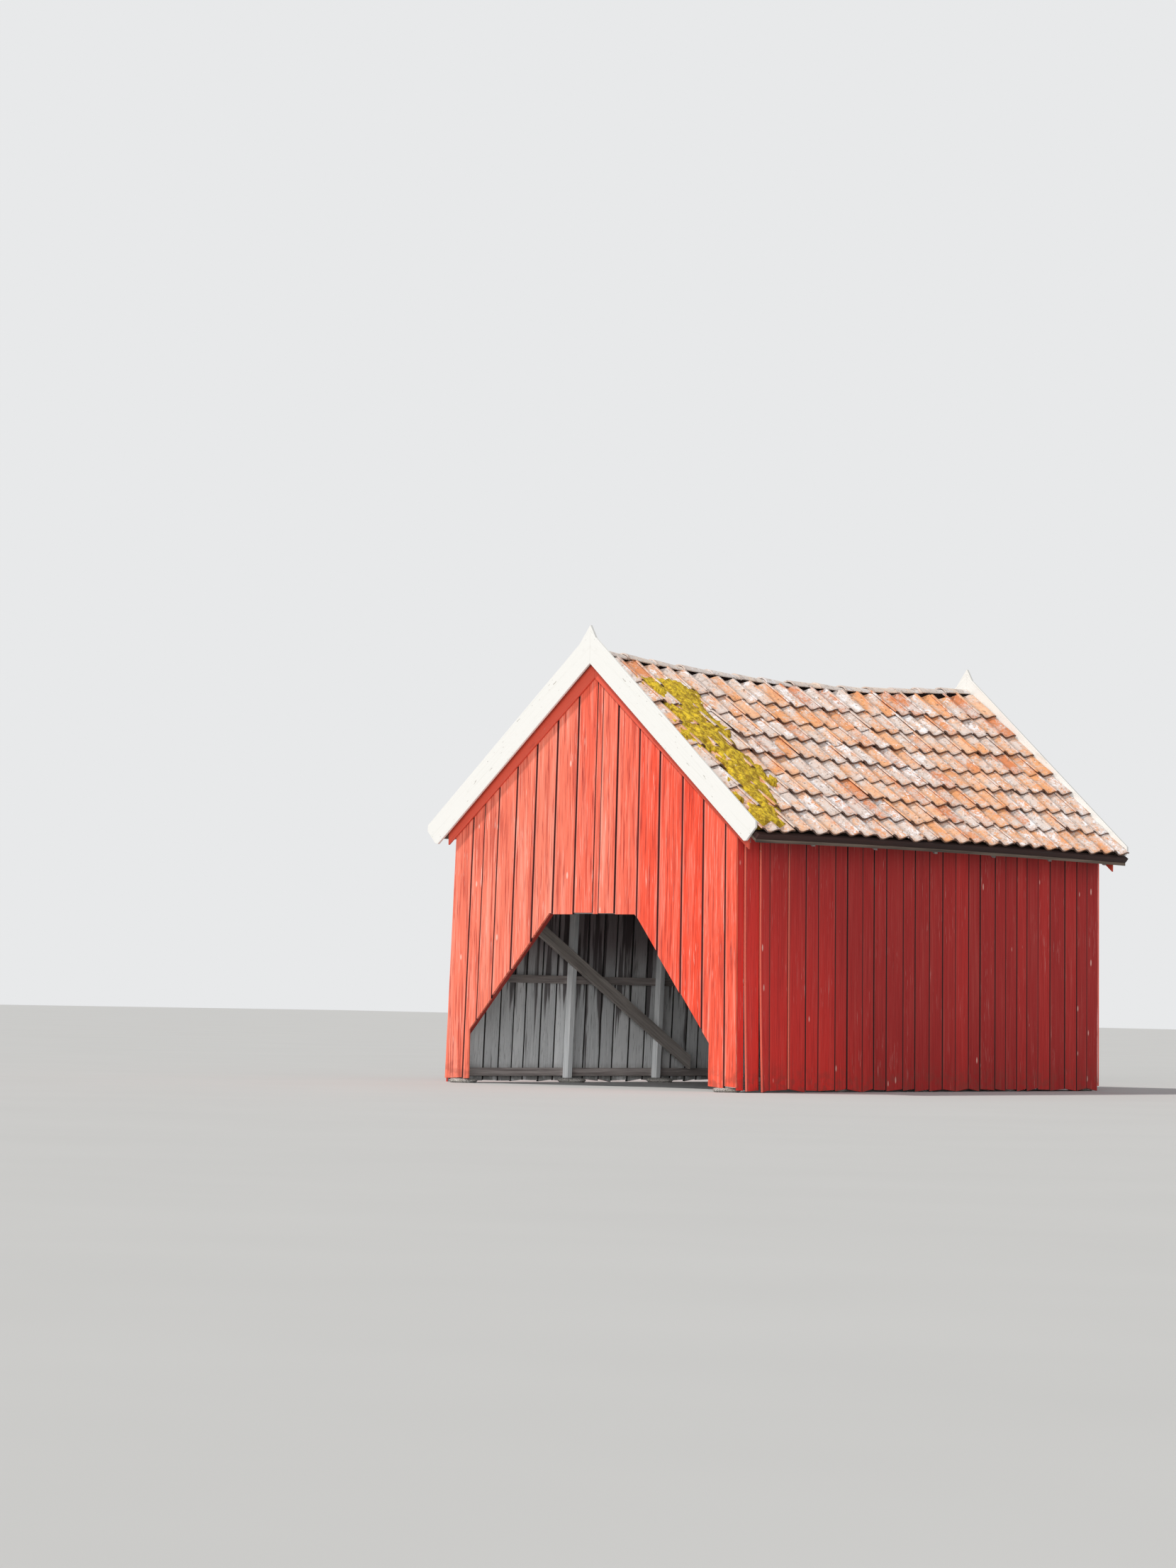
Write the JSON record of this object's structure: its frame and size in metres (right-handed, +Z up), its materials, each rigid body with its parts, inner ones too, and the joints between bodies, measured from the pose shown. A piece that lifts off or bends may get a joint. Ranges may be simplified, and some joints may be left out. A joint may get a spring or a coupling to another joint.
{
  "type": "boathouse",
  "caption": "Small timber boathouse with an open front, vertical red boards, white bargeboards and a sagging pantiled roof.",
  "frame": {"origin": "on the ground under the middle of the building", "axes": "+X to the right seen from the front, +Y from the open front to the rear, +Z up"},
  "size_m": [3.6837, 5.42, 3.877],
  "materials": {
    "red_cladding": "matt red paint",
    "weathered_timber": "grey bare timber",
    "red_trim": "matt red paint",
    "white_trim": "white paint",
    "roof_tile": "old clay with lichen",
    "ridge_tile": "pale weathered clay",
    "granite": "rough stone"
  },
  "bodies": {
    "root": {"front_cladding_left": "red_cladding", "front_cladding_right": "red_cladding", "front_cladding_gable": "red_cladding", "left_cladding": "red_cladding", "right_cladding": "red_cladding", "rear_cladding": "red_cladding", "front_left_post": "weathered_timber", "front_right_post": "weathered_timber", "rear_left_post": "weathered_timber", "rear_right_post": "weathered_timber", "left_side_posts": "weathered_timber", "right_side_posts": "weathered_timber", "left_rails": "weathered_timber", "right_rails": "weathered_timber", "rear_rails": "weathered_timber", "left_wall_plate": "weathered_timber", "right_wall_plate": "weathered_timber", "left_brace": "weathered_timber", "right_brace": "weathered_timber", "rear_middle_post": "weathered_timber", "front_header": "weathered_timber", "front_left_knee": "weathered_timber", "front_right_knee": "weathered_timber", "front_tie_beam": "weathered_timber", "rear_tie_beam": "weathered_timber", "middle_tie_beams": "weathered_timber", "rafters_left": "weathered_timber", "rafters_right": "weathered_timber", "roof_boards_left": "weathered_timber", "roof_boards_right": "weathered_timber", "battens_left": "weathered_timber", "battens_right": "weathered_timber", "ridge_batten": "weathered_timber", "verge_boards_front": "red_trim", "verge_boards_rear": "red_trim", "bargeboard_front_left": "white_trim", "bargeboard_front_right": "white_trim", "bargeboard_rear_left": "white_trim", "bargeboard_rear_right": "white_trim", "tiles_left": "roof_tile", "tiles_right": "roof_tile", "ridge_tiles": "ridge_tile", "corner_stones": "granite"}
  },
  "joints": []
}
